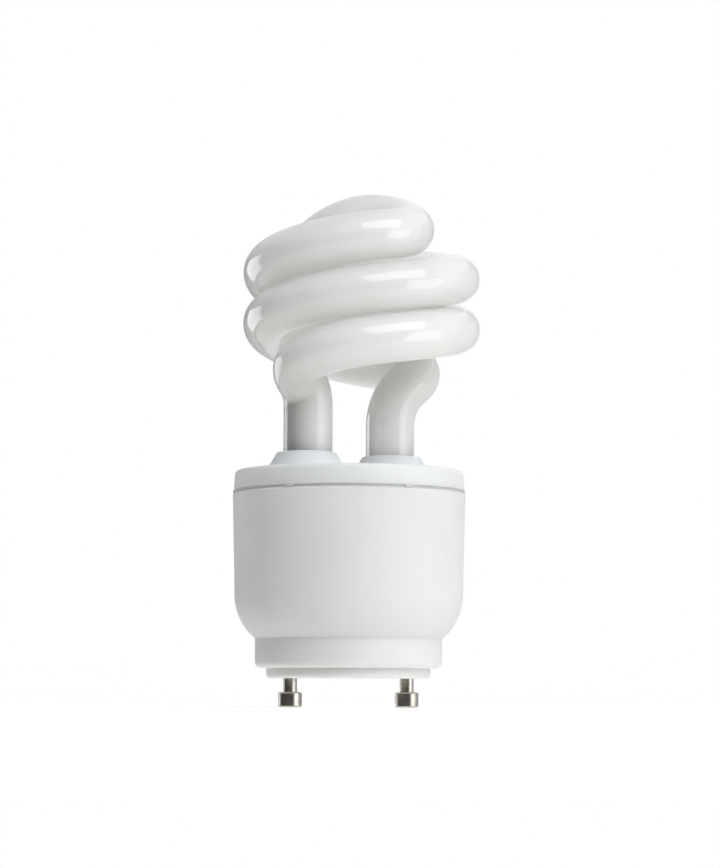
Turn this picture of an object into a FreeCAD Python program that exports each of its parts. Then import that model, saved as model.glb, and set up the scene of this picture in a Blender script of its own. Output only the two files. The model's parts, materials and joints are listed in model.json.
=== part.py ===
import FreeCAD, Part
import math
import os

Vec = FreeCAD.Vector
up = Vec(0, 0, 1)

# Spiral energy saving bulb with a two-pin twist base. Millimetres, +Z up through the bulb,
# X along the line of the pins, origin in the base face midway between the pins.

# Base pins
pinSpacing = 24.0
pinShankDia = 2.86
pinShankLength = 2.8
pinHeadDia = 4.9
pinHeadLength = 3.15
pinHeadChamfer = 0.3
pinSeatDia = 3.5
pinTailDia = 2.2
pinTailLength = 2.4

# Housing, from the base face up
housingWall = 1.6
baseDiscStep = 2.35
baseDiscHeight = 2.1
baseDiscEdge = 0.8
neckDia = 38.6
neckHeight = 6.05
neckEdge = 1.3
shoulderHeight = 9.1
bodyDia = 47.2
bodyHeight = 20.95
bodyFlare = 0.5
rimChamfer = 0.4
pinBossWall = 1.7
pinBossHeight = 3.0
boardRibCount = 6
boardRibStart = 30.0
boardRibThickness = 1.4
boardRibLedge = 1.6

# Cover
coverGap = 0.45
slitDepth = 0.8
coverHeight = 4.15
coverInset = 0.2
coverTaper = 0.3
coverEdge = 0.9
coverWall = 1.6
skirtWall = 1.4
skirtClearance = 0.15
spacerCount = 6
spacerStart = 0.0
spacerWidth = 1.9
lugCount = 4
lugStart = 45.0
lugWidth = 5.0
lugHeight = 1.4
lugDepth = 0.5
lugBelowRim = 4.4
lugClearance = 0.1
collarHeight = 3.4
collarBaseDia = 16.2
collarTopDia = 12.1
collarEdge = 0.45
collarShift = 0.28
cementThickness = 0.5
cementBelowCollar = 0.5

# Glass tube
tubeDia = 10.1
legX = 8.5
legY = 5.9
coilDia = 39.2
strandGap = 0.3
coilShift = 2.45
coilTilt = 1.45
coilRise = 21.06
frontEnd = 630.0
backEnd = 450.0
helixSteps = 12
crownSteps = 5
startAngleFront = 264.3
startAngleBack = 82.7
frontBendHeight = 9.71
frontBendRadius = 6.17
frontBendTurn = 53.2
frontBendHeading = 235.3
frontBendRatio = 0.59
backBendHeight = 6.44
backBendRadius = 10.8
backBendTurn = 56.2
backBendHeading = 36.4
backBendRatio = 3.32
lastTurnLift = 0.3
lastTurnAngle = 200.0
crownRise = 6.55
crownHold = 1.55
crownSlope = 6.2
sealBelowCover = 3.8
sealConeHeight = 1.6
sealConeDia = 6.8
pinchLength = 2.4
pinchWidth = 7.0
pinchThickness = 2.4
pinchEdgeShare = 0.45
pinchHeading = -37.5
exhaustDia = 2.4
exhaustLength = 3.2

# Ballast board and wires
boardThickness = 1.6
boardBelowRim = 8.1
boardClearance = 0.6
leadEnd = 0.9
postDia = 1.0
postHeight = 3.4
postReach = 6.3
wrapAngle = 290.0
filamentSpread = 1.75
filamentDrop = 0.35
wireDia = 0.5
wireClearance = 0.01
supplyWireDia = 1.3
supplyBow = 1.6

# Choke
coreWidth = 13.0
coreDepth = 4.6
coreBack = 2.2
coreCentreLeg = 3.6
coreOuterLeg = 2.0
coreHalfHeight = 6.2
coreAboveBoard = 0.6
bobbinWall = 0.6
bobbinFlange = 0.7
bobbinDepth = 10.4
bobbinClearance = 0.1
railMargin = 0.2
windingInset = 0.3
windingCornerShare = 0.4
tapeThickness = 0.12
chokePinDia = 0.7
chokePinPitch = 8.0
chokePinShort = 1.0

# Other parts on the board
leadInset = 0.5
bulkDia = 8.0
bulkLength = 14.0
bulkPitch = 3.5
bulkEdge = 0.5
bulkGrooveHeight = 2.5
bulkGrooveDepth = 0.5
bulkLip = 0.8
bulkLipHeight = 0.3
lineChokeDia = 8.0
lineChokeLength = 10.0
lineChokeFlange = 1.0
lineChokeNeckDia = 3.6
lineChokeLeadShare = 0.6
driveOuterDia = 8.0
driveInnerDia = 4.4
driveHeight = 3.5
driveWire = 0.5
driveWindingAngle = 44.0
driveWindingCount = 3
driveLeadDia = 0.4
driveLeadShare = 0.6
transistorWidth = 8.0
transistorThickness = 3.2
transistorHeight = 11.0
transistorPitch = 2.3
transistorStandOff = 2.5
transistorEdge = 0.4
transistorHoleDia = 3.2
transistorHoleDrop = 3.2
diodeDia = 2.6
diodeLength = 5.2
resistorDia = 2.2
resistorLength = 6.2
fuseDia = 3.0
fuseLength = 9.0
diacDia = 1.9
diacLength = 4.0
axialPitch = 2.5
axialRise = 0.5
axialEdgeShare = 0.16
componentLead = 0.6
coatedEdgeShare = 0.3
resonantWidth = 10.0
resonantThickness = 4.5
resonantHeight = 9.0
resonantPitch = 7.5
blockingWidth = 7.0
blockingThickness = 3.6
blockingHeight = 7.5
blockingPitch = 5.0
snubberDia = 6.0
snubberThickness = 2.5
snubberPitch = 5.0
thermistorDia = 5.0
thermistorThickness = 3.0
thermistorPitch = 3.6

# Places of the parts around the choke: the angle about the axis, and the distance in from the board's edge
bulkPlace = (315.0, 6.2)
lineChokePlace = (48.0, 6.2)
drivePlace = (122.0, 6.5)
resonantPlace = (219.0, 8.2)
blockingPlace = (268.0, 7.9)
transistorPlaces = ((172.0, 5.6), (87.0, 5.6))
snubberPlace = (16.0, 4.6)
thermistorPlace = (149.0, 4.1)
standingInset = 3.2
diodeAngles = (190.0, 205.0, 220.0, 235.0)
resistorAngles = (250.0, 264.0, 278.0, 334.0)
diacAngle = 292.0
fuseAngle = 352.0

# Heights worked out from the sizes above
neckTop = baseDiscHeight + neckHeight
shoulderTop = neckTop + shoulderHeight
rimHeight = shoulderTop + bodyHeight
coverBottom = rimHeight + coverGap
coverTop = coverBottom + coverHeight
collarTop = coverTop + collarHeight
boardBottom = rimHeight - boardBelowRim
boardTop = boardBottom + boardThickness
tubeRadius = tubeDia / 2.0
bodyRadius = bodyDia / 2.0
neckRadius = neckDia / 2.0
rimRadius = bodyRadius + bodyFlare
coverLowerRadius = rimRadius - coverInset
coverUpperRadius = coverLowerRadius - coverTaper
seatRadius = coverLowerRadius - slitDepth
baseDiscRadius = neckRadius - baseDiscStep
pinX = pinSpacing / 2.0


def export(shape, name):
    solid = shape
    if shape.ShapeType != "Solid" and len(shape.Solids) == 1:
        solid = shape.Solids[0]
    if not solid.isValid() or solid.Volume <= 0:
        raise ValueError(name + " is not a valid solid")
    os.makedirs("parts", exist_ok=True)
    solid.exportStep("parts/" + name + ".step")
    print("%-24s %10.2f mm3" % (name, solid.Volume))


def cylinder(radius, height, x, y, z):
    return Part.makeCylinder(radius, height, Vec(x, y, z))


def block(x0, x1, y0, y1, z0, z1):
    return Part.makeBox(x1 - x0, y1 - y0, z1 - z0, Vec(x0, y0, z0))


def polar(radius, angle):
    a = math.radians(angle)
    return Vec(radius * math.cos(a), radius * math.sin(a), 0)


def spun(shape, angle):
    turned = shape.copy()
    turned.rotate(Vec(0, 0, 0), up, angle)
    return turned


# A profile in the XZ plane is a list of corner points; a corner given as (x, z, radius) is rounded.
def revolved(corners):
    edges = []
    points = [Vec(c[0], 0, c[1]) for c in corners]
    count = len(points)
    starts = []
    ends = []
    for i, corner in enumerate(corners):
        here = points[i]
        if len(corner) < 3:
            starts.append(here)
            ends.append(here)
            continue
        before = (points[i - 1] - here).normalize()
        after = (points[(i + 1) % count] - here).normalize()
        half = math.acos(max(-1.0, min(1.0, before.dot(after)))) / 2.0
        reach = corner[2] / math.tan(half)
        first = here + before * reach
        last = here + after * reach
        bisector = (before + after).normalize()
        middle = here + bisector * (corner[2] / math.sin(half) - corner[2])
        starts.append(first)
        ends.append(last)
        edges.append(Part.Arc(first, middle, last).toShape())
    for i in range(count):
        a = ends[i]
        b = starts[(i + 1) % count]
        if (b - a).Length > 1e-6:
            edges.append(Part.LineSegment(a, b).toShape())
    wire = Part.Wire(Part.__sortEdges__(edges))
    return Part.Face(wire).revolve(Vec(0, 0, 0), up, 360)


# A round rod follows a chain of straight runs and tangent arcs: each arc's wall is part of a torus.
class Rod:
    def __init__(self, radius, start, heading):
        self.radius = radius
        self.point = Vec(start)
        self.heading = Vec(heading).normalize()
        self.circle = Part.Circle(self.point, self.heading, radius).toShape()
        self.faces = [Part.Face(Part.Wire(self.circle))]
        self.length = 0.0
        self.tightest = 1e9

    def run(self, distance):
        step = self.heading * distance
        self.faces.append(self.circle.extrude(step))
        self.circle = self.circle.translated(step)
        self.point = self.point + step
        self.length += distance

    def bend(self, centre, axis, angle):
        self.faces.append(self.circle.revolve(centre, axis, math.degrees(angle)))
        turned = self.circle.copy()
        turned.rotate(centre, axis, math.degrees(angle))
        self.circle = turned
        turn = FreeCAD.Rotation(axis, math.degrees(angle))
        radius = (self.point - centre).Length
        self.point = centre + turn.multVec(self.point - centre)
        self.heading = turn.multVec(self.heading)
        self.length += radius * angle
        self.tightest = min(self.tightest, radius)

    def turn(self, radius, toward, angle):
        side = (toward - self.heading * toward.dot(self.heading)).normalize()
        self.bend(self.point + side * radius, self.heading.cross(side), angle)

    def arcTo(self, target):
        chord = target - self.point
        side = chord - self.heading * chord.dot(self.heading)
        if side.Length < 1e-7:
            self.run(chord.Length)
            return
        radius = chord.dot(chord) / (2.0 * side.Length)
        side = Vec(side).normalize()
        angle = 2.0 * math.atan2(chord.dot(side), chord.dot(self.heading))
        self.bend(self.point + side * radius, self.heading.cross(side), angle)

    # Two arcs that leave along the rod's own heading and arrive at the target along the given one
    def reach(self, target, heading, ratio=1.0):
        heading = Vec(heading).normalize()
        chord = target - self.point
        a = 2.0 * ratio * (1.0 - self.heading.dot(heading))
        b = 2.0 * chord.dot(self.heading * ratio + heading)
        c = -chord.dot(chord)
        if abs(a) < 1e-9:
            far = -c / b
        else:
            far = (-b + math.sqrt(b * b - 4.0 * a * c)) / (2.0 * a)
        near = far * ratio
        first = self.point + self.heading * near
        last = target - heading * far
        self.arcTo(first + (last - first) * (near / (near + far)))
        self.arcTo(target)

    def solid(self):
        faces = self.faces + [Part.Face(Part.Wire(self.circle))]
        shell = Part.makeShell(faces)
        shell.sewShape()
        body = Part.makeSolid(shell.Shells[0] if shell.Shells else shell)
        if body.Volume < 0:
            body.reverse()
        return body


# Base pin: head, visible shank, the part pressed into the boss, and the tail that takes the wire
def contactPin(x):
    headBottom = -pinShankLength - pinHeadLength
    seatTop = baseDiscHeight + pinBossHeight
    tailTop = seatTop + pinTailLength
    pin = revolved([
        (0, headBottom), (pinHeadDia / 2.0 - pinHeadChamfer, headBottom),
        (pinHeadDia / 2.0, headBottom + pinHeadChamfer),
        (pinHeadDia / 2.0, -pinShankLength - pinHeadChamfer),
        (pinHeadDia / 2.0 - pinHeadChamfer, -pinShankLength),
        (pinShankDia / 2.0, -pinShankLength), (pinShankDia / 2.0, 0), (pinSeatDia / 2.0, 0),
        (pinSeatDia / 2.0, seatTop), (pinTailDia / 2.0, seatTop), (pinTailDia / 2.0, tailTop),
        (0, tailTop),
    ])
    pin.translate(Vec(x, 0, 0))
    return pin


# The shoulder is an arc that ends upright at the body and passes through the neck's top edge.
shoulderStep = bodyRadius - neckRadius
shoulderRadius = (shoulderStep ** 2 + shoulderHeight ** 2) / (2.0 * shoulderStep)
shoulderCentre = bodyRadius - shoulderRadius
bodyDraft = (rimRadius - bodyRadius) / bodyHeight


def innerRadius(z):
    return bodyRadius - housingWall + bodyDraft * (z - shoulderTop)


boardRadius = innerRadius(boardBottom) - boardClearance
skirtOuter = innerRadius(boardTop) - skirtClearance
skirtInner = skirtOuter - skirtWall


def shoulderArc(radius, insideNeck):
    low = math.acos((insideNeck - shoulderCentre) / radius)
    points = []
    for angle in (low, low / 2.0, 0.0):
        points.append(Vec(shoulderCentre + radius * math.cos(angle), 0,
                          shoulderTop - radius * math.sin(angle)))
    return points


def housingShell():
    floor = baseDiscHeight
    outer = shoulderArc(shoulderRadius, neckRadius)
    inner = shoulderArc(shoulderRadius - housingWall, neckRadius - housingWall)
    round1 = math.sqrt(0.5)
    path = [
        ("line", Vec(0, 0, 0), Vec(baseDiscRadius - baseDiscEdge, 0, 0)),
        ("arc", Vec(baseDiscRadius - baseDiscEdge * (1 - round1), 0, baseDiscEdge * (1 - round1)),
         Vec(baseDiscRadius, 0, baseDiscEdge)),
        ("line", None, Vec(baseDiscRadius, 0, floor)),
        ("line", None, Vec(neckRadius - neckEdge, 0, floor)),
        ("arc", Vec(neckRadius - neckEdge * (1 - round1), 0, floor + neckEdge * (1 - round1)),
         Vec(neckRadius, 0, floor + neckEdge)),
        ("line", None, outer[0]),
        ("arc", outer[1], outer[2]),
        ("line", None, Vec(rimRadius - bodyDraft * rimChamfer, 0, rimHeight - rimChamfer)),
        ("line", None, Vec(rimRadius - rimChamfer, 0, rimHeight)),
        ("line", None, Vec(innerRadius(rimHeight), 0, rimHeight)),
        ("line", None, inner[2]),
        ("arc", inner[1], inner[0]),
        ("line", None, Vec(neckRadius - housingWall, 0, floor + housingWall)),
        ("line", None, Vec(baseDiscRadius - housingWall, 0, floor + housingWall)),
        ("line", None, Vec(baseDiscRadius - housingWall, 0, floor)),
        ("line", None, Vec(0, 0, floor)),
        ("line", None, Vec(0, 0, 0)),
    ]
    edges = []
    here = path[0][1]
    for kind, middle, target in path:
        if kind == "arc":
            edges.append(Part.Arc(here, middle, target).toShape())
        else:
            edges.append(Part.LineSegment(here, target).toShape())
        here = target
    return Part.Face(Part.Wire(edges)).revolve(Vec(0, 0, 0), up, 360)


lugTop = rimHeight - lugBelowRim
lugReach = innerRadius(lugTop) + lugDepth - skirtClearance


# A ring sector used for the snap lugs and, a little larger, for the pockets that take them
def lugRing(grow):
    inside = skirtOuter - 0.5 * skirtWall
    ring = cylinder(lugReach + grow, lugHeight + 2 * grow, 0, 0, lugTop - lugHeight - grow)
    ring = ring.cut(cylinder(inside, lugHeight + 4 * grow + 2, 0, 0, lugTop - lugHeight - 2 * grow - 1))
    width = lugWidth / 2.0 + grow
    lugs = []
    for i in range(lugCount):
        angle = lugStart + i * 360.0 / lugCount
        wedge = block(inside - 2, lugReach + 2, -width, width, lugTop - lugHeight - 1, lugTop + 1)
        lugs.append(ring.common(spun(wedge, angle)))
    return lugs


def baseHousing():
    shell = housingShell()
    ribInner = boardRadius - boardRibLedge
    ribs = []
    for i in range(boardRibCount):
        rib = block(ribInner, bodyRadius + 2, -boardRibThickness / 2.0, boardRibThickness / 2.0,
                    neckTop, boardBottom)
        ribs.append(spun(rib, boardRibStart + i * 360.0 / boardRibCount))
    inside = cylinder(bodyRadius - housingWall / 2.0, boardBottom - shoulderTop, 0, 0, shoulderTop)
    ring = Part.makeTorus(shoulderCentre, shoulderRadius - housingWall / 2.0, Vec(0, 0, shoulderTop), up)
    core = cylinder(shoulderCentre, boardBottom - neckTop + 1, 0, 0, neckTop - 1)
    inside = inside.fuse([ring, core])
    ribs = [rib.common(inside) for rib in ribs]
    bosses = []
    bossRadius = pinSeatDia / 2.0 + pinBossWall
    for x in (-pinX, pinX):
        bosses.append(cylinder(bossRadius, baseDiscHeight / 2.0 + pinBossHeight, x, 0, baseDiscHeight / 2.0))
    shell = shell.fuse(ribs + bosses)
    for x in (-pinX, pinX):
        shell = shell.cut(cylinder(pinSeatDia / 2.0, baseDiscHeight + pinBossHeight + 2, x, 0, -1))
    return shell.cut(lugRing(lugClearance)).removeSplitter()


# Legs stand at opposite corners; each collar is shifted a little outwards from its leg.
legs = [(-legX, -legY), (legX, legY)]
collars = [(-legX - collarShift, -legY), (legX + collarShift, legY)]
boreRadius = tubeRadius + cementThickness


# The cover sits on the rim by a seat ring; a slit stays open outside the ring, bridged by small pads.
def topCover():
    ceiling = coverTop - coverWall
    lid = revolved([
        (0, coverTop), (0, ceiling), (skirtInner, ceiling), (skirtInner, boardTop),
        (skirtOuter, boardTop), (skirtOuter, rimHeight), (seatRadius, rimHeight),
        (seatRadius, coverBottom), (coverLowerRadius, coverBottom),
        (coverUpperRadius, coverTop, coverEdge),
    ])
    pieces = []
    for x, y in collars:
        cone = Part.makeCone(collarBaseDia / 2.0, collarTopDia / 2.0, collarHeight, Vec(x, y, coverTop))
        rim = [e for e in cone.Edges if e.BoundBox.ZMin > collarTop - 1e-4]
        pieces.append(cone.makeFillet(collarEdge, rim))
        pieces.append(cylinder(collarTopDia / 2.0, coverWall / 2.0, x, y, coverTop - coverWall / 2.0))
    padOuter = min(coverLowerRadius, rimRadius - rimChamfer)
    for i in range(spacerCount):
        pad = block(skirtOuter - skirtWall / 2.0, padOuter, -spacerWidth / 2.0, spacerWidth / 2.0,
                    rimHeight, coverBottom + coverWall / 2.0)
        pieces.append(spun(pad, spacerStart + i * 360.0 / spacerCount))
    lid = lid.fuse(pieces + lugRing(0.0))
    for x, y in legs:
        lid = lid.cut(cylinder(boreRadius, collarTop - boardTop, x, y, boardTop + 1))
    return lid.removeSplitter()


def tubeCement(x, y):
    bottom = coverTop - coverWall
    height = collarTop - cementBelowCollar - bottom
    return cylinder(boreRadius, height, x, y, bottom).cut(cylinder(tubeRadius, height, x, y, bottom))


# Two-start right-handed helix about an upright axis beside the housing's own, tilted a little in X.
coilRadius = coilDia / 2.0
strandPitch = tubeDia + strandGap
coilLead = 2.0 * strandPitch / math.sqrt(1.0 - (2.0 * strandPitch / (2.0 * math.pi * coilRadius)) ** 2)
tiltSlope = math.tan(math.radians(coilTilt))
coilStart = collarTop + coilRise


def helixHeight(angle, end):
    share = max(0.0, (angle - end + lastTurnAngle) / lastTurnAngle)
    return coilLead * angle / 360.0 + lastTurnLift * share * share * (1.5 - 0.5 * share)


def helixPoint(angle, base, end):
    p = polar(coilRadius, angle)
    return Vec(p.x + coilShift, p.y, base + helixHeight(angle, end) - tiltSlope * p.x)


# The crossing at the top: each strand turns in on a half circle of half the coil's radius,
# so the two halves meet on the coil's axis as an S, climbing to the crown. The crown's highest point is
# on the front half: the lean lifts that half and lowers the other, and the tube slopes across the axis.
def crownPoint(share, base, end, lean):
    inward = coilRadius / 2.0
    centre = polar(inward, end)
    p = centre + polar(inward, end + 180.0 * share)
    low = base + helixHeight(end, end)
    slope = (helixHeight(end, end) - helixHeight(end - 0.01, end)) / math.radians(0.01) / coilRadius
    climb = slope * math.pi * inward
    rise = crownRise * (3 * share ** 2 - 2 * share ** 3)
    rise += climb * (share ** 3 - 2 * share ** 2 + share)
    rise -= crownHold * 16 * share ** 2 * (1 - share) ** 2
    rise += lean * share ** 2 * (1 - share)
    return Vec(p.x + coilShift, p.y, low + rise - tiltSlope * p.x)


def strandPath(base, start, end, lean):
    stations = []
    small = 1e-3
    for i in range(helixSteps + 1):
        angle = start + (end - start) * i / helixSteps
        ahead = helixPoint(angle + small, base, end)
        behind = helixPoint(angle - small, base, end)
        stations.append((helixPoint(angle, base, end), (ahead - behind).normalize()))
    for i in range(1, crownSteps + 1):
        share = i / float(crownSteps)
        ahead = crownPoint(share + small, base, end, lean)
        behind = crownPoint(share - small, base, end, lean)
        stations.append((crownPoint(share, base, end, lean), (ahead - behind).normalize()))
    return stations


def spiralTube():
    frontBase = coilStart - coilLead * startAngleFront / 360.0
    backBase = frontBase + coilLead / 2.0
    front = strandPath(frontBase, startAngleFront, frontEnd, crownSlope)
    back = strandPath(backBase, startAngleBack, backEnd, -crownSlope)
    legBottom = coverTop - coverWall - sealBelowCover
    rod = Rod(tubeRadius, Vec(legs[0][0], legs[0][1], legBottom), up)
    rod.run(collarTop + frontBendHeight - legBottom)
    rod.turn(frontBendRadius, polar(1.0, frontBendHeading), math.radians(frontBendTurn))
    rod.reach(front[0][0], front[0][1], frontBendRatio)
    for point, heading in front[1:]:
        rod.reach(point, heading)
    # Down the second strand, from the crown to the back leg
    for point, heading in reversed(back[:-1]):
        rod.reach(point, heading * -1.0)
    bendEnd = Rod(tubeRadius, Vec(legs[1][0], legs[1][1], collarTop + backBendHeight), up)
    bendEnd.turn(backBendRadius, polar(1.0, backBendHeading), math.radians(backBendTurn))
    rod.reach(bendEnd.point, bendEnd.heading * -1.0, 1.0 / backBendRatio)
    rod.arcTo(Vec(legs[1][0], legs[1][1], collarTop + backBendHeight))
    rod.run(collarTop + backBendHeight - legBottom)
    tube = rod.solid()
    print("tube length %.1f, tightest bend %.2f, volume error %.5f" % (
        rod.length, rod.tightest, tube.Volume / (math.pi * tubeRadius ** 2 * rod.length) - 1.0))
    seals = []
    for x, y in legs:
        seals.append(Part.makeCone(sealConeDia / 2.0, tubeRadius, sealConeHeight,
                                   Vec(x, y, legBottom - sealConeHeight)))
        pinch = block(-pinchWidth / 2.0, pinchWidth / 2.0, -pinchThickness / 2.0, pinchThickness / 2.0,
                      legBottom - sealConeHeight - pinchLength, legBottom - sealConeHeight / 2.0)
        upright = [e for e in pinch.Edges if abs(e.tangentAt(e.FirstParameter).z) > 0.99]
        pinch = spun(pinch.makeFillet(pinchThickness * pinchEdgeShare, upright), pinchHeading)
        pinch.translate(Vec(x, y, 0))
        seals.append(pinch)
    side = polar(pinchThickness / 2.0, pinchHeading + 90.0)
    seals.append(cylinder(exhaustDia / 2.0, exhaustLength, legs[0][0] + side.x, legs[0][1] + side.y,
                          legBottom - sealConeHeight / 2.0 - exhaustLength))
    return tube.fuse(seals).removeSplitter()


# Parts hang below the board: each is made standing on z = 0 and then turned over against it.
boardHoles = []


def hang(shape, x, y, angle):
    placed = spun(shape, angle)
    placed.rotate(Vec(0, 0, 0), Vec(1, 0, 0), 180)
    placed.translate(Vec(x, y, boardBottom))
    return placed


def drill(points, radius, x, y, angle):
    a = math.radians(angle)
    for px, py in points:
        turnedX = px * math.cos(a) - py * math.sin(a)
        turnedY = px * math.sin(a) + py * math.cos(a)
        boardHoles.append((x + turnedX, y - turnedY, radius))


def leadPins(points, radius, height):
    bottom = -boardThickness - leadEnd
    return [cylinder(radius, height - bottom, px, py, bottom) for px, py in points]


def fused(body, others):
    return body.fuse(others).removeSplitter()


chokeTopGap = coreAboveBoard + coreBack
chokeHeight = coreAboveBoard + 2 * coreHalfHeight


def coreHalf(flip):
    half = coreWidth / 2.0
    depth = coreDepth / 2.0
    piece = block(-half, half, -depth, depth, 0, coreHalfHeight)
    window = half - coreOuterLeg
    for side in (-1, 1):
        x0, x1 = sorted((side * coreCentreLeg / 2.0, side * window))
        piece = piece.cut(block(x0, x1, -depth - 1, depth + 1, coreBack, coreHalfHeight + 1))
    if flip:
        piece.rotate(Vec(0, 0, 0), Vec(1, 0, 0), 180)
        piece.translate(Vec(0, 0, chokeHeight))
    else:
        piece.translate(Vec(0, 0, coreAboveBoard))
    return piece


bobbinInX = coreCentreLeg / 2.0 + bobbinClearance
bobbinInY = coreDepth / 2.0 + bobbinClearance
bobbinOutX = bobbinInX + bobbinWall
bobbinOutY = bobbinInY + bobbinWall
flangeX = coreWidth / 2.0 - coreOuterLeg - bobbinClearance
flangeY = bobbinDepth / 2.0
bobbinTop = chokeHeight - coreBack
chokePins = [(sx * chokePinPitch / 2.0, sy * (flangeY - chokePinDia)) for sx in (-1, 1) for sy in (-1, 1)]


def chokeBobbin():
    spool = block(-bobbinOutX, bobbinOutX, -bobbinOutY, bobbinOutY, chokeTopGap, bobbinTop)
    parts = [
        block(-flangeX, flangeX, -flangeY, flangeY, chokeTopGap, chokeTopGap + bobbinFlange),
        block(-flangeX, flangeX, -flangeY, flangeY, bobbinTop - bobbinFlange, bobbinTop),
    ]
    railX = chokePinPitch / 2.0 + chokePinDia
    railY = coreDepth / 2.0 + railMargin
    for y0, y1 in ((railY, flangeY), (-flangeY, -railY)):
        parts.append(block(-railX, railX, y0, y1, 0, chokeTopGap + bobbinFlange))
    spool = fused(spool, parts)
    spool = spool.cut(block(-bobbinInX, bobbinInX, -bobbinInY, bobbinInY, chokeTopGap - 1, bobbinTop + 1))
    for px, py in chokePins:
        spool = spool.cut(cylinder(chokePinDia / 2.0, chokeTopGap - chokePinShort + 1, px, py, -1))
    return spool


def chokeWinding():
    z0 = chokeTopGap + bobbinFlange
    z1 = bobbinTop - bobbinFlange
    x, y = flangeX - windingInset, flangeY - windingInset
    coil = block(-x, x, -y, y, z0, z1)
    corners = [e for e in coil.Edges if abs(e.tangentAt(e.FirstParameter).z) > 0.99]
    coil = coil.makeFillet(min(x, y) * windingCornerShare, corners)
    return coil.cut(block(-bobbinOutX, bobbinOutX, -bobbinOutY, bobbinOutY, z0 - 1, z1 + 1))


def chokeTape():
    x, y = coreWidth / 2.0, coreDepth / 2.0
    t = tapeThickness
    band = block(-x - t, x + t, -y, y, coreAboveBoard - t, chokeHeight + t)
    return band.cut(block(-x, x, -y - 1, y + 1, coreAboveBoard, chokeHeight))


def bulkCapacitor():
    r = bulkDia / 2.0
    points = [(-bulkPitch / 2.0, 0), (bulkPitch / 2.0, 0)]
    can = revolved([
        (0, 0), (r - bulkEdge, 0), (r, bulkEdge), (r, bulkGrooveHeight - bulkGrooveDepth),
        (r - bulkGrooveDepth, bulkGrooveHeight), (r, bulkGrooveHeight + bulkGrooveDepth),
        (r, bulkLength, bulkEdge), (r - bulkLip, bulkLength), (r - bulkLip, bulkLength - bulkLipHeight),
        (0, bulkLength - bulkLipHeight),
    ])
    return fused(can, leadPins(points, componentLead / 2.0, leadInset)), points


def lineChokeCore():
    r = lineChokeDia / 2.0
    neck = lineChokeNeckDia / 2.0
    points = [(-r * lineChokeLeadShare, 0), (r * lineChokeLeadShare, 0)]
    drum = revolved([
        (0, 0), (r, 0), (r, lineChokeFlange), (neck, lineChokeFlange),
        (neck, lineChokeLength - lineChokeFlange), (r, lineChokeLength - lineChokeFlange),
        (r, lineChokeLength), (0, lineChokeLength),
    ])
    return fused(drum, leadPins(points, componentLead / 2.0, lineChokeFlange / 2.0)), points


def lineChokeWinding():
    neck = lineChokeNeckDia / 2.0
    outer = lineChokeDia / 2.0 - windingInset
    return revolved([
        (neck, lineChokeFlange), (outer, lineChokeFlange), (outer, lineChokeLength - lineChokeFlange),
        (neck, lineChokeLength - lineChokeFlange),
    ])


def driveCore():
    outer, inner = driveOuterDia / 2.0, driveInnerDia / 2.0
    return revolved([
        (inner, driveWire), (outer, driveWire), (outer, driveWire + driveHeight),
        (inner, driveWire + driveHeight),
    ])


# Each winding is a band of turns around a stretch of the ring, with its two ends through the board.
def driveWinding():
    outer, inner = driveOuterDia / 2.0, driveInnerDia / 2.0
    w = driveWire
    band = revolved([
        (inner - w, 0), (outer + w, 0), (outer + w, driveHeight + 2 * w), (inner - w, driveHeight + 2 * w),
    ])
    band = band.cut(driveCore())
    half = driveWindingAngle / 2.0
    reach = outer + 4 * w
    sector = Part.makeCylinder(reach, driveHeight + 4 * w, Vec(0, 0, -w), up, driveWindingAngle)
    band = band.common(spun(sector, -half))
    spread = math.radians(half * driveLeadShare)
    middle = (outer + w / 2.0) * math.cos(spread)
    across = (outer + w / 2.0) * math.sin(spread)
    points = [(middle, -across), (middle, across)]
    return fused(band, leadPins(points, driveLeadDia / 2.0, w / 2.0)), points


def transistor():
    h0, h1 = transistorStandOff, transistorStandOff + transistorHeight
    x, y = transistorWidth / 2.0, transistorThickness / 2.0
    body = block(-x, x, -y, y, h0, h1)
    body = body.makeChamfer(transistorEdge, [e for e in body.Edges if e.BoundBox.ZMin > h1 - 1e-4])
    body = body.cut(cylinder(transistorHoleDia / 2.0, 2 * transistorThickness + 2, 0, 0, 0).rotated(
        Vec(0, 0, 0), Vec(1, 0, 0), 90).translated(Vec(0, transistorThickness + 1, h1 - transistorHoleDrop)))
    points = [(-transistorPitch, 0), (0, 0), (transistorPitch, 0)]
    return fused(body, leadPins(points, componentLead / 2.0, h0 + leadInset)), points


# A round-bodied part standing on end, with its far lead looped over and down to the board
def standing(diameter, length):
    r = componentLead / 2.0
    body = cylinder(diameter / 2.0, length, 0, 0, 0)
    body = body.makeFillet(diameter * axialEdgeShare, [e for e in body.Edges if e.BoundBox.ZLength < 1e-4])
    loop = Rod(r, Vec(0, 0, length - leadInset), up)
    loop.run(leadInset + axialRise)
    loop.turn(axialPitch / 2.0, Vec(1, 0, 0), math.pi)
    loop.run(length + axialRise + boardThickness + leadEnd)
    points = [(0, 0), (axialPitch, 0)]
    return fused(body, leadPins(points[:1], r, leadInset) + [loop.solid()]), points


def filmCapacitor(width, thickness, height, pitch):
    body = block(-width / 2.0, width / 2.0, -thickness / 2.0, thickness / 2.0, 0, height)
    body = body.makeFillet(thickness * coatedEdgeShare, [e for e in body.Edges if e.BoundBox.ZMax > 1e-4])
    points = [(-pitch / 2.0, 0), (pitch / 2.0, 0)]
    return fused(body, leadPins(points, componentLead / 2.0, leadInset)), points


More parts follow.
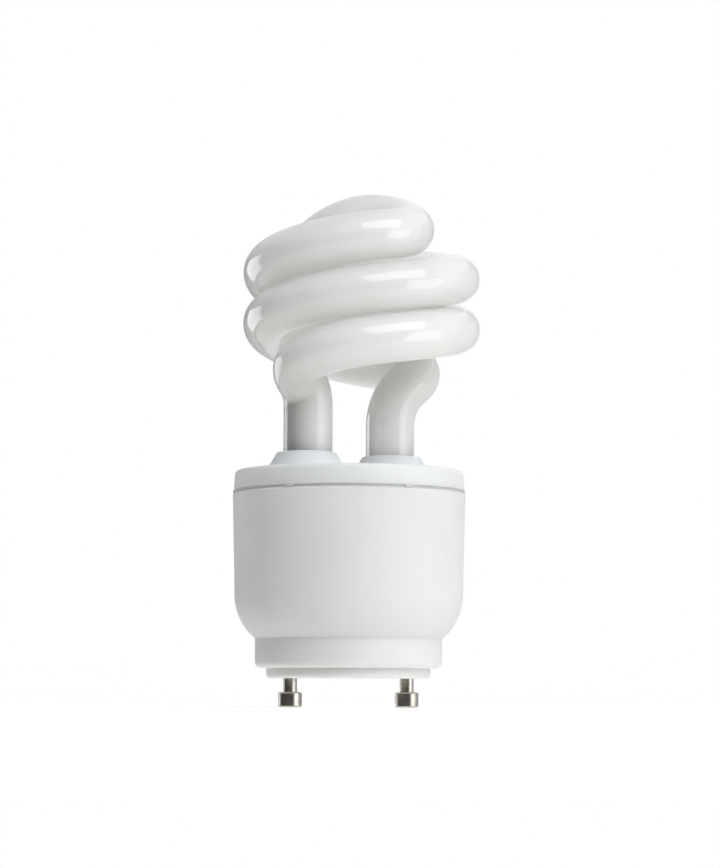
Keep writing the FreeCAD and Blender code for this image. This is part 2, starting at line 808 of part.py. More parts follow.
def discPart(diameter, thickness, pitch):
    disc = cylinder(diameter / 2.0, thickness, 0, 0, 0)
    disc = disc.makeFillet(thickness * coatedEdgeShare, [e for e in disc.Edges if e.BoundBox.ZLength < 1e-4])
    disc.rotate(Vec(0, 0, 0), Vec(1, 0, 0), 90)
    disc.translate(Vec(0, thickness / 2.0, diameter / 2.0))
    points = [(-pitch / 2.0, 0), (pitch / 2.0, 0)]
    return fused(disc, leadPins(points, componentLead / 2.0, diameter / 3.0)), points


def wrapPost(x, y):
    return cylinder(postDia / 2.0, boardThickness + postHeight, x, y, boardBottom)


# A filament wire leaves the pinch, turns towards its post and goes round it.
def filamentLead(leg, heading):
    radius = wireDia / 2.0
    away = polar(1.0, heading)
    pinchBottom = coverTop - coverWall - sealBelowCover - sealConeHeight - pinchLength
    ring = postDia / 2.0 + radius + wireClearance
    start = filamentSpread
    sideways = polar(ring, heading + 90.0)
    turnRadius = 2.0 * radius
    drop = (pinchBottom - boardTop) * filamentDrop
    wire = Rod(radius, Vec(leg[0], leg[1], pinchBottom) + away * start - sideways * 1.0, up * -1.0)
    wire.run(drop)
    wire.turn(turnRadius, away, math.pi / 2.0)
    wire.run(postReach - start - turnRadius)
    wire.turn(ring, sideways, math.radians(wrapAngle))
    return wire.solid()


def supplyLead(side):
    x = side * pinX
    bottom = baseDiscHeight + pinBossHeight + pinTailLength
    wire = Rod(supplyWireDia / 2.0, Vec(x, 0, bottom), up)
    middle = Vec(x, side * supplyBow, (bottom + boardBottom) / 2.0)
    wire.reach(middle, up)
    wire.reach(Vec(x, 0, boardBottom), up)
    wire.run(boardThickness + leadEnd)
    return wire.solid()


def circuitBoard():
    board = cylinder(boardRadius, boardThickness, 0, 0, boardBottom)
    holes = [cylinder(r, boardThickness + 2, x, y, boardBottom - 1) for x, y, r in boardHoles]
    return board.cut(holes)


# Housing, cover, pins and glass
export(baseHousing(), "base_housing")
export(topCover(), "top_cover")
export(contactPin(-pinX), "contact_pin_left")
export(contactPin(pinX), "contact_pin_right")
export(spiralTube(), "spiral_tube")
export(tubeCement(*legs[0]), "tube_cement_left")
export(tubeCement(*legs[1]), "tube_cement_right")

# Choke in the middle of the board
export(hang(coreHalf(False), 0, 0, 0), "choke_core_upper")
export(hang(coreHalf(True), 0, 0, 0), "choke_core_lower")
export(hang(chokeBobbin(), 0, 0, 0), "choke_bobbin")
export(hang(chokeWinding(), 0, 0, 0), "choke_winding")
export(hang(chokeTape(), 0, 0, 0), "choke_tape")
for number, (x, y) in enumerate(chokePins, 1):
    pin = cylinder(chokePinDia / 2.0, chokeTopGap - chokePinShort + boardThickness + leadEnd,
                   x, y, -boardThickness - leadEnd)
    export(hang(pin, 0, 0, 0), "choke_pin_%d" % number)
drill(chokePins, chokePinDia / 2.0, 0, 0, 0)


# A part at a place on the board is set with its width along the rim, unless it is turned further.
def spotAt(place, turn=0.0):
    angle, inset = place
    spot = polar(boardRadius - inset, angle)
    return spot.x, spot.y, turn - angle - 90.0


def mounted(made, name, spot, leadDia=componentLead):
    shape, points = made
    drill(points, leadDia / 2.0, *spot)
    export(hang(shape, *spot), name)


# Larger parts around the choke
mounted(bulkCapacitor(), "bulk_capacitor", spotAt(bulkPlace))
mounted(lineChokeCore(), "line_choke_core", spotAt(lineChokePlace))
export(hang(lineChokeWinding(), *spotAt(lineChokePlace)), "line_choke_winding")
export(hang(driveCore(), *spotAt(drivePlace)), "drive_core")
for number in range(driveWindingCount):
    turn = 360.0 / driveWindingCount * number
    mounted(driveWinding(), "drive_winding_%d" % (number + 1), spotAt(drivePlace, turn), driveLeadDia)
mounted(filmCapacitor(resonantWidth, resonantThickness, resonantHeight, resonantPitch),
        "resonant_capacitor", spotAt(resonantPlace))
mounted(filmCapacitor(blockingWidth, blockingThickness, blockingHeight, blockingPitch),
        "blocking_capacitor", spotAt(blockingPlace))
for number, place in enumerate(transistorPlaces, 1):
    mounted(transistor(), "transistor_%d" % number, spotAt(place))
mounted(discPart(snubberDia, snubberThickness, snubberPitch), "snubber_capacitor", spotAt(snubberPlace))
mounted(discPart(thermistorDia, thermistorThickness, thermistorPitch), "start_thermistor",
        spotAt(thermistorPlace))

# Small parts standing in a ring near the edge of the board
for number, angle in enumerate(diodeAngles, 1):
    mounted(standing(diodeDia, diodeLength), "rectifier_diode_%d" % number, spotAt((angle, standingInset)))
for number, angle in enumerate(resistorAngles, 1):
    mounted(standing(resistorDia, resistorLength), "resistor_%d" % number, spotAt((angle, standingInset)))
mounted(standing(diacDia, diacLength), "diac", spotAt((diacAngle, standingInset)))
mounted(standing(fuseDia, fuseLength), "fusible_resistor", spotAt((fuseAngle, standingInset)))

# Wires above and below the board
postNumber = 0
for leg in legs:
    for heading in (pinchHeading, pinchHeading + 180.0):
        postNumber += 1
        spot = polar(postReach, heading)
        x, y = leg[0] + spot.x, leg[1] + spot.y
        boardHoles.append((x, y, postDia / 2.0))
        export(wrapPost(x, y), "wrap_post_%d" % postNumber)
        export(filamentLead(leg, heading), "filament_lead_%d" % postNumber)
for side, name in ((-1, "supply_lead_left"), (1, "supply_lead_right")):
    boardHoles.append((side * pinX, 0, supplyWireDia / 2.0))
    export(supplyLead(side), name)
export(circuitBoard(), "circuit_board")
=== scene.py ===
import bpy
import bmesh
import json
import math
from mathutils import Matrix, Vector


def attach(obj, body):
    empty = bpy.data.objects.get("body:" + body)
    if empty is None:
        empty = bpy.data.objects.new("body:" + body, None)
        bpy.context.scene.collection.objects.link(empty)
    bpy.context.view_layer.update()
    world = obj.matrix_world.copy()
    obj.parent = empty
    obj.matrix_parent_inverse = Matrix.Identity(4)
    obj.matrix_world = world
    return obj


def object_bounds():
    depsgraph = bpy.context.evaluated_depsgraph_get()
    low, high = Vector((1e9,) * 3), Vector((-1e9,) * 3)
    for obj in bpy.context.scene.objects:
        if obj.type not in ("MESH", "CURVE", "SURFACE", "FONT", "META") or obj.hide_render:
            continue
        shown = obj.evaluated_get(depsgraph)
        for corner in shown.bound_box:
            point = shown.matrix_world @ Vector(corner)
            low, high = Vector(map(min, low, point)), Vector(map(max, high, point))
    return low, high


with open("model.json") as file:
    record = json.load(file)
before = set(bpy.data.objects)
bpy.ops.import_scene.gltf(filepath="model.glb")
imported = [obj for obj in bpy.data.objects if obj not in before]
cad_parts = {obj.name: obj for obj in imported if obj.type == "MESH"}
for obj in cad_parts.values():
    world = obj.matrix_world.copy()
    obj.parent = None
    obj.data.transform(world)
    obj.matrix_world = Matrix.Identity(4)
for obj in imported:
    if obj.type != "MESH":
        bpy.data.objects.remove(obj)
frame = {"nodes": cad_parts, "record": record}
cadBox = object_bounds()
nodes = frame["nodes"]
print("frame loaded:", len(nodes), "nodes")


# Small helpers

def hexColour(text):  # sRGB hex to linear, with alpha
    channels = [int(text[i:i + 2], 16) / 255.0 for i in (0, 2, 4)]
    linear = [c / 12.92 if c <= 0.04045 else ((c + 0.055) / 1.055) ** 2.4 for c in channels]
    return (*linear, 1.0)


def metres(millimetres):
    return millimetres / 1000.0


def perMetre(millimetres):  # texture scale that gives a feature of this size
    return 1000.0 / millimetres


# A setting is an input's value where the node has an input of that name or number, and else a property.
def addNode(tree, kind, settings=None, links=None):
    node = tree.nodes.new(kind)
    for key, value in (settings or {}).items():
        if isinstance(key, int) or key in node.inputs:
            node.inputs[key].default_value = value
        else:
            setattr(node, key, value)
    for key, socket in (links or {}).items():
        tree.links.new(socket, node.inputs[key])
    return node


def newMaterial(name):
    material = bpy.data.materials.new(name)
    material.use_nodes = True
    tree = material.node_tree
    tree.nodes.clear()
    shader = addNode(tree, "ShaderNodeBsdfPrincipled")
    addNode(tree, "ShaderNodeOutputMaterial", links={"Surface": shader.outputs["BSDF"]})
    return material, tree, shader


def setShader(shader, **values):
    for key, value in values.items():
        shader.inputs[key.replace("_", " ")].default_value = value


# The surface shows its shader where the share is 0, and is clear where it is 1.
def clearBy(tree, shader, share):
    clear = addNode(tree, "ShaderNodeBsdfTransparent")
    mix = addNode(tree, "ShaderNodeMixShader", links={
        "Fac": share, 1: shader.outputs["BSDF"], 2: clear.outputs["BSDF"]})
    output = next(node for node in tree.nodes if node.type == "OUTPUT_MATERIAL")
    tree.links.new(mix.outputs["Shader"], output.inputs["Surface"])


# The noise's detail, and where it passes from one colour to the other
cloudSpread = {"detail": 3.0, "low": 0.35, "high": 0.65}
# Red, green and blue go equally far under the surface
evenScatter = (1.0, 1.0, 1.0)


# Two colours mixed by a noise of a given grain, with the noise itself
def cloudColour(tree, coords, first, second, grainMm):
    noise = addNode(tree, "ShaderNodeTexNoise", {
        "Scale": perMetre(grainMm), "Detail": cloudSpread["detail"]}, {"Vector": coords})
    ramp = addNode(tree, "ShaderNodeValToRGB", links={"Fac": noise.outputs["Fac"]})
    ramp.color_ramp.elements[0].position = cloudSpread["low"]
    ramp.color_ramp.elements[0].color = hexColour(first)
    ramp.color_ramp.elements[1].position = cloudSpread["high"]
    ramp.color_ramp.elements[1].color = hexColour(second)
    return ramp.outputs["Color"], noise.outputs["Fac"]


# Soda-lime glass, drawn into tube and bent hot: clear, with bright reflections that waver a little.
drawnGlass = {
    "tint": "FDFDFC",
    "roughness": 0.09,
    "ior": 1.5,
    "waveMm": 9.0,          # slow unevenness left by drawing and bending
    "waveDetail": 1.0,
    "waveDepthMm": 0.006,
}


# Shadows and soft light go straight through the wall, so the powder behind it is lit as through thin glass.
def makeDrawnGlass(look):
    material, tree, shader = newMaterial("drawnGlass")
    coords = addNode(tree, "ShaderNodeTexCoord").outputs["Object"]
    wave = addNode(tree, "ShaderNodeTexNoise", {
        "Scale": perMetre(look["waveMm"]), "Detail": look["waveDetail"]}, {"Vector": coords})
    bump = addNode(tree, "ShaderNodeBump", {"Distance": metres(look["waveDepthMm"]), "Strength": 1.0},
                   {"Height": wave.outputs["Fac"]})
    tree.links.new(bump.outputs["Normal"], shader.inputs["Normal"])
    setShader(shader, Base_Color=hexColour(look["tint"]), Roughness=look["roughness"], IOR=look["ior"],
              Transmission_Weight=1.0)
    path = addNode(tree, "ShaderNodeLightPath")
    through = addNode(tree, "ShaderNodeMath", {"operation": "MAXIMUM"}, {
        0: path.outputs["Is Shadow Ray"], 1: path.outputs["Is Diffuse Ray"]})
    clearBy(tree, shader, through.outputs["Value"])
    return material


# Phosphor powder, washed into the tube and baked on: a chalky white with no gloss of its own.
bakedPhosphor = {
    "thick": "E4E3E0",
    "thin": "DEDDD9",
    "cloudMm": 14.0,
    "roughness": 0.9,
    "gloss": 0.0,
    "scatter": 1.0,
    "scatterMm": 18.0,
    "paintedLightFootMm": 48.0,         # painted light: whiter at the feet of the legs, against the shade that the collars cast there
    "paintedLightTopMm": 60.0,
    "paintedLightShare": 1.18,
    "paintedShadeFromMm": -11.4,    # painted shade: the outer half of the left leg is darker, where shade falls between the coil and the cover
    "paintedShadeToMm": -6.8,
    "paintedShadeTopMm": 53.0,
    "paintedShadeFadeMm": 5.0,
    "paintedShadeShare": 0.50,
}


def makeBakedPhosphor(look):
    material, tree, shader = newMaterial("bakedPhosphor")
    coords = addNode(tree, "ShaderNodeTexCoord").outputs["Object"]
    colour = cloudColour(tree, coords, look["thin"], look["thick"], look["cloudMm"])[0]
    place = addNode(tree, "ShaderNodeSeparateXYZ", links={"Vector": coords})
    # Painted shade: the outer half of the left leg, up to a height, is darker
    across = addNode(tree, "ShaderNodeMapRange", {
        "From Min": metres(look["paintedShadeFromMm"]), "From Max": metres(look["paintedShadeToMm"]),
        "To Min": look["paintedShadeShare"]}, {"Value": place.outputs["X"]})
    above = addNode(tree, "ShaderNodeMapRange", {
        "From Min": metres(look["paintedShadeTopMm"]), "From Max": metres(look["paintedShadeTopMm"] + look["paintedShadeFadeMm"])},
        {"Value": place.outputs["Z"]})
    paintedShadeFactor = addNode(tree, "ShaderNodeMath", {"operation": "MAXIMUM"}, {
        0: across.outputs["Result"], 1: above.outputs["Result"]})
    # Painted light: the powder is whiter towards the feet of both legs
    foot = addNode(tree, "ShaderNodeMapRange", {
        "From Min": metres(look["paintedLightFootMm"]), "From Max": metres(look["paintedLightTopMm"]),
        "To Min": look["paintedLightShare"]}, {"Value": place.outputs["Z"]})
    share = addNode(tree, "ShaderNodeMath", {"operation": "MULTIPLY"}, {
        0: paintedShadeFactor.outputs["Value"], 1: foot.outputs["Result"]})
    shaded = addNode(tree, "ShaderNodeVectorMath", {"operation": "SCALE"}, {
        0: colour, "Scale": share.outputs["Value"]})
    tree.links.new(shaded.outputs["Vector"], shader.inputs["Base Color"])
    setShader(shader, Roughness=look["roughness"], Specular_IOR_Level=look["gloss"],
              Subsurface_Weight=look["scatter"], Subsurface_Scale=metres(look["scatterMm"]),
              Subsurface_Radius=evenScatter)
    return material


# PBT, injection moulded in a finely etched mould: an even satin white with soft broad highlights.
mouldedPbt = {
    "white": "E9E8E6",
    "shade": "E4E4E1",
    "cloudMm": 22.0,
    "grainMm": 0.35,        # the real etch is about 0.05 mm, drawn coarser so that it shows
    "grainDetail": 2.0,
    "grainDepthMm": 0.004,
    "smooth": 0.54,
    "rough": 0.62,
    "ior": 1.55,
    "scatter": 0.6,
    "scatterMm": 2.5,
}
# The cover is moulded of a slightly whiter batch; its collars carry a painted shade, a little darker and
# cooler than its top.
mouldedPbtCover = dict(
    mouldedPbt,
    white="EAEAE8",
    shade="E5E6E4",
    cloudMm=15.0,
    # Painted shade: the collars are a little darker and cooler than the top of the cover
    collar="E2E5E7",
    collarFromMm=42.9,
)


def makeMouldedPbt(name, look):
    material, tree, shader = newMaterial(name)
    coords = addNode(tree, "ShaderNodeTexCoord").outputs["Object"]
    colour, cloud = cloudColour(tree, coords, look["shade"], look["white"], look["cloudMm"])
    grain = addNode(tree, "ShaderNodeTexNoise", {
        "Scale": perMetre(look["grainMm"]), "Detail": look["grainDetail"]}, {"Vector": coords})
    bump = addNode(tree, "ShaderNodeBump", {"Distance": metres(look["grainDepthMm"]), "Strength": 1.0},
                   {"Height": grain.outputs["Fac"]})
    polish = addNode(tree, "ShaderNodeMapRange", {"To Min": look["smooth"], "To Max": look["rough"]},
                     {"Value": cloud})
    # Painted shade on the collars, above the height where they rise from the lid
    if "collar" in look:
        height = addNode(tree, "ShaderNodeSeparateXYZ", links={"Vector": coords}).outputs["Z"]
        raised = addNode(tree, "ShaderNodeMath", {
            "operation": "GREATER_THAN", 1: metres(look["collarFromMm"])}, {0: height})
        paintedCollarMix = addNode(tree, "ShaderNodeMix", {"data_type": "RGBA", 7: hexColour(look["collar"])},
                         {0: raised.outputs["Value"], 6: colour})    # 0 is the factor, 6 and 7 the colours
        colour = paintedCollarMix.outputs[2]
    tree.links.new(colour, shader.inputs["Base Color"])
    tree.links.new(polish.outputs["Result"], shader.inputs["Roughness"])
    tree.links.new(bump.outputs["Normal"], shader.inputs["Normal"])
    setShader(shader, IOR=look["ior"], Subsurface_Weight=look["scatter"],
              Subsurface_Scale=metres(look["scatterMm"]), Subsurface_Radius=evenScatter)
    return material


# Brass, turned and nickel plated: a warm grey mirror with faint rings from the lathe.
platedBrass = {
    "plating": "C6C3BD",
    "worn": "B4AEA2",
    "wornMm": 1.2,
    "ringMm": 1.382,        # the real tool marks are about 0.05 mm apart, drawn coarser so that they show
    "ringWander": 0.6,
    "ringDetail": 2.0,
    "ringDepthMm": 0.002,
    "smooth": 0.22,
    "rough": 0.36,
}
waveRadians = 20.0      # Blender's own figure: radians of wave in a metre at a texture scale of 1


def makePlatedBrass(look):
    material, tree, shader = newMaterial("platedBrass")
    coords = addNode(tree, "ShaderNodeTexCoord").outputs["Object"]
    colour, wear = cloudColour(tree, coords, look["worn"], look["plating"], look["wornMm"])
    rings = addNode(tree, "ShaderNodeTexWave", {
        "wave_type": "BANDS", "bands_direction": "Z",
        "Scale": 2.0 * math.pi * perMetre(look["ringMm"]) / waveRadians,
        "Distortion": look["ringWander"], "Detail": look["ringDetail"]}, {"Vector": coords})
    bump = addNode(tree, "ShaderNodeBump", {"Distance": metres(look["ringDepthMm"]), "Strength": 1.0},
                   {"Height": rings.outputs["Fac"]})
    polish = addNode(tree, "ShaderNodeMapRange", {"To Min": look["rough"], "To Max": look["smooth"]},
                     {"Value": wear})
    tree.links.new(colour, shader.inputs["Base Color"])
    tree.links.new(polish.outputs["Result"], shader.inputs["Roughness"])
    tree.links.new(bump.outputs["Normal"], shader.inputs["Normal"])
    setShader(shader, Metallic=1.0)
    return material


# Finishes inside the housing: two colours, the size and depth of the grain that mixes them, and the gloss
innerFinishes = {
    # Basing cement, poured and set: pale, dull and gritty
    "setCement": {"first": "DCDDDA", "second": "E7E8E6", "grainMm": 0.8, "depthMm": 0.05, "roughness": 0.8},
    # Phenolic paper, pressed and punched: a dull tan with slow clouds
    "pressedPhenolic": {"first": "8A6438", "second": "A67C48", "grainMm": 3.0, "depthMm": 0.01,
                        "roughness": 0.55},
    # Ferrite, pressed and fired: a fine charcoal grain
    "sinteredFerrite": {"first": "2B2C2E", "second": "3A3B3D", "grainMm": 0.3, "depthMm": 0.02,
                        "roughness": 0.5},
    # Copper wire under clear enamel: a glossy red brown
    "enamelledCopper": {"first": "9A4E22", "second": "C2702F", "grainMm": 0.6, "depthMm": 0.03,
                        "roughness": 0.28, "metallic": 1.0},
    # Nylon, injection moulded: satin black
    "mouldedNylon": {"first": "1B1B1D", "second": "242427", "grainMm": 0.5, "depthMm": 0.01,
                     "roughness": 0.5},
    # Polyester film tape, rolled: smooth bright yellow
    "polyesterTape": {"first": "D8B12C", "second": "E3BE3E", "grainMm": 4.0, "depthMm": 0.005,
                      "roughness": 0.3},
    # Copper, dipped in tin: a soft grey shine
    "tinnedCopper": {"first": "A9AAAB", "second": "C4C5C6", "grainMm": 0.8, "depthMm": 0.004,
                     "roughness": 0.3, "metallic": 1.0},
    # Vinyl sleeve, shrunk on: smooth dark blue
    "shrunkVinyl": {"first": "17203F", "second": "1F2A52", "grainMm": 5.0, "depthMm": 0.01,
                    "roughness": 0.32},
    # Epoxy, dipped and cured: glossy red brown with soft lumps
    "dippedEpoxy": {"first": "5A1E12", "second": "6E2818", "grainMm": 2.0, "depthMm": 0.03,
                    "roughness": 0.25},
    # Epoxy resin with filler, moulded: matt black
    "mouldedEpoxy": {"first": "141414", "second": "1E1E1F", "grainMm": 0.4, "depthMm": 0.01,
                     "roughness": 0.6},
    # Lacquer, rolled on and baked: smooth pale tan
    "bakedLacquer": {"first": "B49A6C", "second": "C4AB7D", "grainMm": 1.5, "depthMm": 0.01,
                     "roughness": 0.35},
    # Ceramic disc, dipped in coloured resin: an uneven satin blue
    "dippedCeramic": {"first": "2D5796", "second": "3867AB", "grainMm": 1.5, "depthMm": 0.02,
                      "roughness": 0.4},
    # Vinyl, extruded over wire: an even off-white
    "extrudedVinyl": {"first": "DADAD6", "second": "E6E6E2", "grainMm": 2.0, "depthMm": 0.01,
                      "roughness": 0.45},
}


def makeInnerFinish(name, look):
    material, tree, shader = newMaterial(name)
    coords = addNode(tree, "ShaderNodeTexCoord").outputs["Object"]
    colour, grain = cloudColour(tree, coords, look["first"], look["second"], look["grainMm"])
    bump = addNode(tree, "ShaderNodeBump", {"Distance": metres(look["depthMm"]), "Strength": 1.0},
                   {"Height": grain})
    tree.links.new(colour, shader.inputs["Base Color"])
    tree.links.new(bump.outputs["Normal"], shader.inputs["Normal"])
    setShader(shader, Roughness=look["roughness"], Metallic=look.get("metallic", 0.0))
    return material


materials = {
    "drawnGlass": makeDrawnGlass(drawnGlass),
    "bakedPhosphor": makeBakedPhosphor(bakedPhosphor),
    "mouldedPbt": makeMouldedPbt("mouldedPbt", mouldedPbt),
    "mouldedPbtCover": makeMouldedPbt("mouldedPbtCover", mouldedPbtCover),
    "platedBrass": makePlatedBrass(platedBrass),
}
for name, look in innerFinishes.items():
    materials[name] = makeInnerFinish(name, look)
print("materials made:", len(materials))

# The record's slot of each node gives its finish.
slotFinishes = {
    "coated_glass": "drawnGlass", "housing_plastic": "mouldedPbt", "cover_plastic": "mouldedPbtCover",
    "pin_metal": "platedBrass", "cement": "setCement", "board": "pressedPhenolic",
    "ferrite": "sinteredFerrite", "copper_wire": "enamelledCopper", "bobbin_plastic": "mouldedNylon",
    "tape": "polyesterTape", "tinned_metal": "tinnedCopper", "sleeve": "shrunkVinyl",
    "dipped_film": "dippedEpoxy", "black_resin": "mouldedEpoxy", "resistor_coat": "bakedLacquer",
    "ceramic_coat": "dippedCeramic", "wire_insulation": "extrudedVinyl",
}
for part in frame["record"]["subparts"]:
    node = nodes[part["node"]]
    node.data.materials.clear()
    node.data.materials.append(materials[slotFinishes[part["material_slot"]]])


def meshObject(name, shape, material):
    mesh = bpy.data.meshes.new(name)
    shape.to_mesh(mesh)
    shape.free()
    mesh.materials.append(material)
    piece = bpy.data.objects.new(name, mesh)
    bpy.context.scene.collection.objects.link(piece)
    return piece


# The white is a layer on the inside of the tube's wall, so it lies under the glass.
powderLayer = {"wallMm": 0.9, "weldMm": 0.001}


def makePowderLayer(spec):
    shape = bmesh.new()
    shape.from_mesh(nodes["spiral_tube"].data)
    bmesh.ops.remove_doubles(shape, verts=shape.verts, dist=metres(spec["weldMm"]))
    shape.normal_update()
    for vert in shape.verts:
        vert.co -= vert.normal * metres(spec["wallMm"])
    for face in shape.faces:
        face.smooth = True
    piece = meshObject("powderLayer", shape, materials["bakedPhosphor"])
    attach(piece, "root")


makePowderLayer(powderLayer)
print("powder layer made")

# A lip on the cover closes the back of the slit between its pads, so the slit is a shallow grey line that
# the pads break.
slitLip = {
    "bottomMm": 38.21,
    "topMm": 38.64,
    "pads": 6,
    "lipMm": (23.12, 23.72),    # inner and outer radius
    "lipEdge": 2.6,             # degrees from a pad's middle to where the lip starts
    "padMm": (23.70, 24.02),
    "padEdge": 2.0,             # degrees from a pad's middle to its end
    "steps": 24,
}


# A closed bar of four sides, bent round the axis from one angle to another
def addArc(shape, spec, radii, first, last):
    inner, outer = radii
    bottom, top = spec["bottomMm"], spec["topMm"]
    corners = ((inner, bottom), (outer, bottom), (outer, top), (inner, top))
    rings = []
    for i in range(spec["steps"] + 1):
        turn = math.radians(first + (last - first) * i / spec["steps"])
        ring = []
        for radius, height in corners:
            across = metres(radius) * math.cos(turn)
            along = metres(radius) * math.sin(turn)
            ring.append(shape.verts.new((across, along, metres(height))))
        rings.append(ring)
    for ring, nextRing in zip(rings, rings[1:]):
        for k in range(len(corners)):
            after = (k + 1) % len(corners)
            shape.faces.new((ring[k], nextRing[k], nextRing[after], ring[after]))
    shape.faces.new(rings[0][::-1])
    shape.faces.new(rings[-1])


def makeSlitLip(spec):
    shape = bmesh.new()
    pitch = 360.0 / spec["pads"]
    for pad in range(spec["pads"]):
        middle = pad * pitch
        addArc(shape, spec, spec["lipMm"], middle + spec["lipEdge"], middle + pitch - spec["lipEdge"])
        addArc(shape, spec, spec["padMm"], middle - spec["padEdge"], middle + spec["padEdge"])
    bmesh.ops.recalc_face_normals(shape, faces=shape.faces)
    piece = meshObject("slitLip", shape, materials["mouldedPbtCover"])
    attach(piece, "root")


makeSlitLip(slitLip)
print("slit lip made")


# Studio, in metres. Places are given round the object, azimuth 0 towards the camera, positive to its right.
studioCentre = Vector((0.0, 0.0, 0.05))


def aroundObject(azimuth, elevation, distance):
    turn = math.radians(azimuth)
    rise = math.radians(elevation)
    outward = Vector((math.sin(turn) * math.cos(rise), -math.cos(turn) * math.cos(rise), math.sin(rise)))
    return studioCentre + distance * outward


# The fill box lights the object softly; the others are only seen in its glass, plastic and metal: the key
# and side boxes as streaks on the right, the rim box along the left edges of the turns and legs.
softboxes = {
    "fillBox": {"azimuth": 24, "elevation": 35, "size": (0.70, 0.90), "power": 7.3, "colour": "F6FAFF",
                "soft": True, "mirrored": False},
    "keyBox": {"azimuth": 34, "elevation": 43, "size": (0.98, 0.64), "power": 5.2, "colour": "FFFFFF",
               "soft": False, "mirrored": True},
    "sideBox": {"azimuth": 64, "elevation": -3, "size": (0.66, 0.62), "power": 2.1, "colour": "FFFFFF",
                "soft": False, "mirrored": True},
    "rimBox": {"azimuth": -128, "elevation": -4, "size": (0.55, 0.60), "power": 2.6, "colour": "FFFFFF",
               "soft": False, "mirrored": True},
}
boxDistance = 1.0
for name, box in softboxes.items():
    lamp = bpy.data.lights.new(name, "AREA")
    lamp.shape = "RECTANGLE"
    lamp.size = box["size"][0]
    lamp.size_y = box["size"][1]
    lamp.energy = box["power"]
    lamp.color = hexColour(box["colour"])[:3]
    holder = bpy.data.objects.new(name, lamp)
    holder.location = aroundObject(box["azimuth"], box["elevation"], boxDistance)
    holder.rotation_euler = (studioCentre - holder.location).to_track_quat("-Z", "Y").to_euler()
    holder.visible_diffuse = box["soft"]
    holder.visible_glossy = box["mirrored"]
    bpy.context.scene.collection.objects.link(holder)
print("softboxes placed:", len(softboxes))

# Cloth and paper of the studio: matt, with next to no gloss
stageFinish = {"roughness": 0.9, "gloss": 0.1}


def stageMaterial(name, colour):
    material, tree, shader = newMaterial(name)
    setShader(shader, Base_Color=hexColour(colour), Roughness=stageFinish["roughness"],
              Specular_IOR_Level=stageFinish["gloss"])
    return material, tree, shader


# 1 for rays that come from the eye straight or by a mirror or clear glass, 0 for soft light
def seenRays(tree):
    path = addNode(tree, "ShaderNodeLightPath")
    seen = path.outputs["Is Camera Ray"]
    for ray in ("Is Glossy Ray", "Is Transmission Ray"):
        seen = addNode(tree, "ShaderNodeMath", {"operation": "MAXIMUM"}, {
            0: seen, 1: path.outputs[ray]}).outputs["Value"]
    return seen


# Curved screens that the camera doesn't see, between two azimuths: a dark one round the lens, which shades
# the front and left, grey ones behind on the left and right, which keep the glass's edges from flaring, and
# a small card behind the pins, which darkens their left edges. Each is grey within the dark height of its
# middle, and pales towards its edges.
screens = {
    "frontScreen": {"from": -114.0, "to": 44.0, "radius": 1.4, "middle": 0.08, "dark": 0.24, "edge": 0.80,
                    "grey": "202020", "pale": "FFFFFF"},
    "leftScreen": {"from": -174.0, "to": -114.0, "radius": 1.4, "middle": 0.05, "dark": 0.30, "edge": 0.70,
                   "grey": "B0B0B0", "pale": "FFFFFF"},
    "rearScreen": {"from": 104.0, "to": 166.0, "radius": 1.4, "middle": 0.05, "dark": 0.50, "edge": 0.75,
                   "grey": "E0E0E0", "pale": "F0F0F0"},
    "pinCard": {"from": -172.0, "to": -100.0, "radius": 0.16, "middle": 0.001, "dark": 0.006,
                "edge": 0.0068, "grey": "868686", "pale": "868686"},
}
screenSteps = 48


def makeScreen(name, spec):
    shape = bmesh.new()
    lowRow = []
    highRow = []
    for i in range(screenSteps + 1):
        azimuth = spec["from"] + (spec["to"] - spec["from"]) * i / screenSteps
        foot = aroundObject(azimuth, 0.0, spec["radius"])
        lowRow.append(shape.verts.new((foot.x, foot.y, spec["middle"] - spec["edge"])))
        highRow.append(shape.verts.new((foot.x, foot.y, spec["middle"] + spec["edge"])))
    for i in range(screenSteps):
        shape.faces.new((lowRow[i], lowRow[i + 1], highRow[i + 1], highRow[i]))
    material, tree, shader = stageMaterial(name + "Cloth", spec["grey"])
    coords = addNode(tree, "ShaderNodeTexCoord").outputs["Object"]
    height = addNode(tree, "ShaderNodeSeparateXYZ", links={"Vector": coords}).outputs["Z"]
    offset = addNode(tree, "ShaderNodeMath", {"operation": "SUBTRACT", 1: spec["middle"]}, {0: height})
    away = addNode(tree, "ShaderNodeMath", {"operation": "ABSOLUTE"}, {0: offset.outputs["Value"]})
    grey = addNode(tree, "ShaderNodeMapRange", {
        "From Min": spec["dark"], "From Max": spec["edge"], "To Min": hexColour(spec["grey"])[0],
        "To Max": hexColour(spec["pale"])[0]}, {"Value": away.outputs["Value"]})
    tree.links.new(grey.outputs["Result"], shader.inputs["Base Color"])
    screen = meshObject(name, shape, material)
    screen.visible_camera = False


for name, spec in screens.items():
    makeScreen(name, spec)

# The floor is a white light table at the pin tips: soft light passes up through it, and from below it is
# clear.
floorSpec = {"half": 0.6, "gap": 0.0001, "white": "F4F4F4", "glow": 0.52}


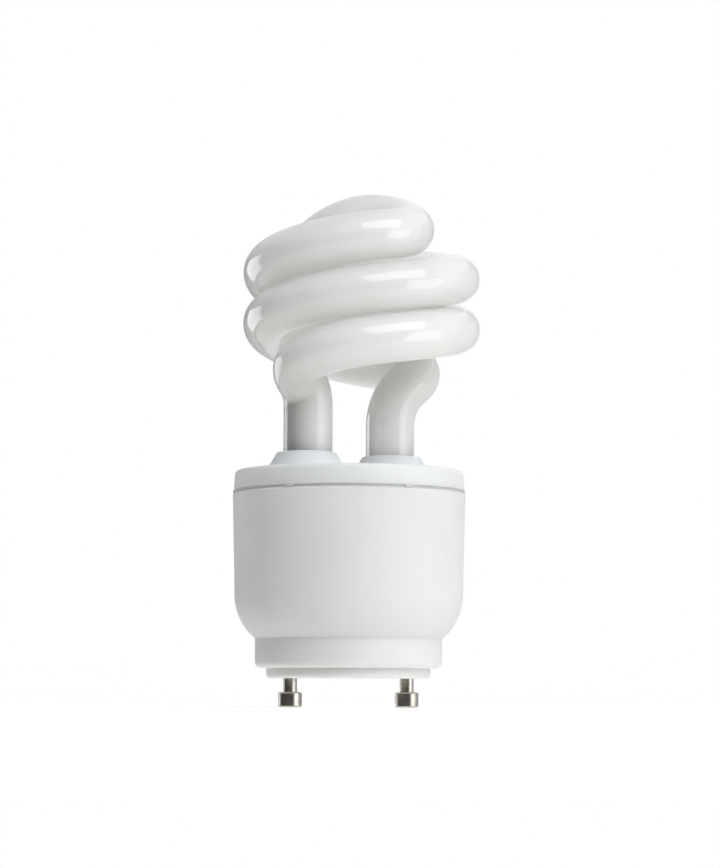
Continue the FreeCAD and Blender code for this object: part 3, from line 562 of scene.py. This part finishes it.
def makeFloor(spec):
    shape = bmesh.new()
    height = cadBox[0].z - spec["gap"]
    corners = [(-1, -1), (1, -1), (1, 1), (-1, 1)]
    shape.faces.new([shape.verts.new((x * spec["half"], y * spec["half"], height)) for x, y in corners])
    material, tree, shader = stageMaterial("floorPaper", spec["white"])
    setShader(shader, Emission_Color=hexColour(spec["white"]))
    glow = addNode(tree, "ShaderNodeMapRange", {"To Max": spec["glow"]}, {"Value": seenRays(tree)})
    tree.links.new(glow.outputs["Result"], shader.inputs["Emission Strength"])
    side = addNode(tree, "ShaderNodeNewGeometry")
    clearBy(tree, shader, side.outputs["Backfacing"])
    floor = meshObject("floor", shape, material)
    floor.visible_diffuse = False
    floor.visible_glossy = False
    floor.visible_shadow = False


makeFloor(floorSpec)
print("stage set: screens and floor")

# White all round to the eye and in reflections; the soft light is even, with a lean from below, from behind
# and from the right.
surround = {"white": "FFFFFF", "even": 0.80, "lean": (0.20, 0.20, -0.46)}


def makeSurround(spec):
    world = bpy.data.worlds.new("surround")
    world.use_nodes = True
    tree = world.node_tree
    tree.nodes.clear()
    direction = addNode(tree, "ShaderNodeTexCoord").outputs["Generated"]
    lean = addNode(tree, "ShaderNodeVectorMath", {"operation": "DOT_PRODUCT", 1: spec["lean"]},
                   {0: direction})
    soft = addNode(tree, "ShaderNodeMath", {"operation": "ADD", 1: spec["even"]},
                   {0: lean.outputs["Value"]})
    strength = addNode(tree, "ShaderNodeMapRange", {"To Max": 1.0}, {
        "Value": seenRays(tree), "To Min": soft.outputs["Value"]})
    background = addNode(tree, "ShaderNodeBackground", {"Color": hexColour(spec["white"])},
                         {"Strength": strength.outputs["Result"]})
    addNode(tree, "ShaderNodeOutputWorld", links={"Surface": background.outputs["Background"]})
    bpy.context.scene.world = world


makeSurround(surround)
bpy.context.scene.view_settings.view_transform = "Standard"
print("surround lit")

# A long lens just below the base face, looking slightly up; eye in metres, angles in degrees
cameraSpec = {
    "eye": (0.0, -0.600, -0.0022),
    "pitch": 5.0272,
    "yaw": 0.2091,
    "roll": 0.2178,
    "lens": 120.34,
    "sensor": 36.0,
}


def makeCamera(spec):
    data = bpy.data.cameras.new("camera")
    data.lens = spec["lens"]
    data.sensor_width = spec["sensor"]
    camera = bpy.data.objects.new("camera", data)
    turn = Matrix.Rotation(-math.radians(spec["yaw"]), 4, "Z")
    turn = turn @ Matrix.Rotation(math.radians(90.0 + spec["pitch"]), 4, "X")
    turn = turn @ Matrix.Rotation(math.radians(spec["roll"]), 4, "Z")
    camera.matrix_world = Matrix.Translation(Vector(spec["eye"])) @ turn
    bpy.context.scene.collection.objects.link(camera)
    bpy.context.scene.camera = camera


makeCamera(cameraSpec)
print("camera set")
